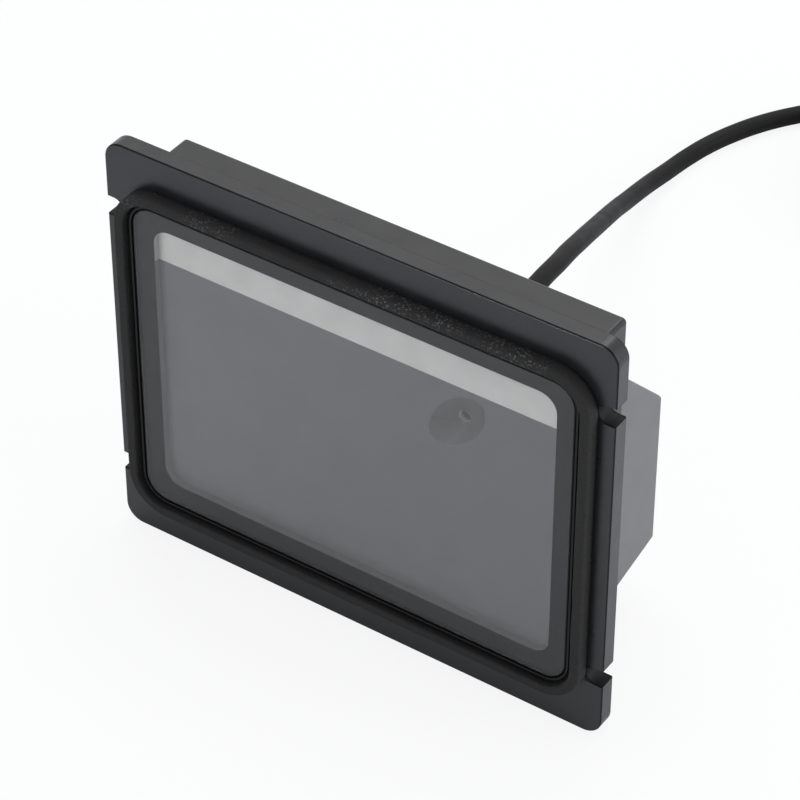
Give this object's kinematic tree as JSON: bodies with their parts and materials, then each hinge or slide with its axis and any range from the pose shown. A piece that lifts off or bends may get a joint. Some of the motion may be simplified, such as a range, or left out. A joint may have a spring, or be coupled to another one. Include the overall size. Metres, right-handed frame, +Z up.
{
  "type": "barcode scanner",
  "caption": "Fixed-mount barcode scanner: slotted flange with a framed glass reading window, foam gasket, wedge-shaped rear cover and a coiled lead with a USB plug.",
  "frame": {"origin": "centre of the flange's front face", "axes": "+X to the right as seen from the front, +Y to the rear along the viewing axis, +Z up"},
  "size_m": [0.1305, 0.2342, 0.0954],
  "materials": {
    "case_plastic": "fine satin",
    "gasket_foam": "fine foam",
    "window_glass": "clear polished",
    "black_tape": "printed black",
    "panel_plastic": "smooth satin",
    "steel_screw": "zinc plated",
    "diffuser": "frosted",
    "white_board": "solder resist",
    "led_body": "moulded",
    "barrel_black": "black anodised look",
    "lens_glass": "coated",
    "sensor_die": "glossy",
    "green_board": "solder resist",
    "chip_black": "moulded",
    "socket_cream": "moulded",
    "flex_amber": "polyimide film",
    "socket_white": "moulded",
    "cover_plastic": "fine satin",
    "relief_rubber": "smooth",
    "lead_jacket": "satin jacket",
    "tie_plastic": "smooth",
    "plug_plastic": "moulded",
    "plug_steel": "nickel plated",
    "tongue_plastic": "moulded",
    "contact_gold": "gold plated"
  },
  "bodies": {
    "root": {"front_case": "case_plastic", "foam_gasket": "gasket_foam", "front_glass": "window_glass", "glass_tape": "black_tape", "inner_panel": "panel_plastic", "panel_screws": "steel_screw", "light_diffuser": "diffuser", "light_board": "white_board", "light_leds": "led_body", "light_board_screws": "steel_screw", "lens_barrel": "barrel_black", "front_lens": "lens_glass", "lens_holder": "barrel_black", "image_sensor": "sensor_die", "camera_board": "green_board", "camera_screws": "steel_screw", "main_board": "green_board", "processor": "chip_black", "memory_chip": "chip_black", "flex_sockets": "socket_cream", "camera_flex": "flex_amber", "light_flex": "flex_amber", "buzzer": "chip_black", "board_screws": "steel_screw", "lead_socket": "socket_white", "lead_plug": "socket_white", "rear_cover": "cover_plastic", "cover_screws": "steel_screw", "strain_relief": "relief_rubber", "inner_lead": "lead_jacket", "lead_run": "lead_jacket", "lead_coil": "lead_jacket", "coil_tie": "tie_plastic", "lead_tail": "lead_jacket", "usb_plug_body": "plug_plastic", "usb_shell": "plug_steel", "usb_tongue": "tongue_plastic", "usb_contacts": "contact_gold"}
  },
  "joints": []
}
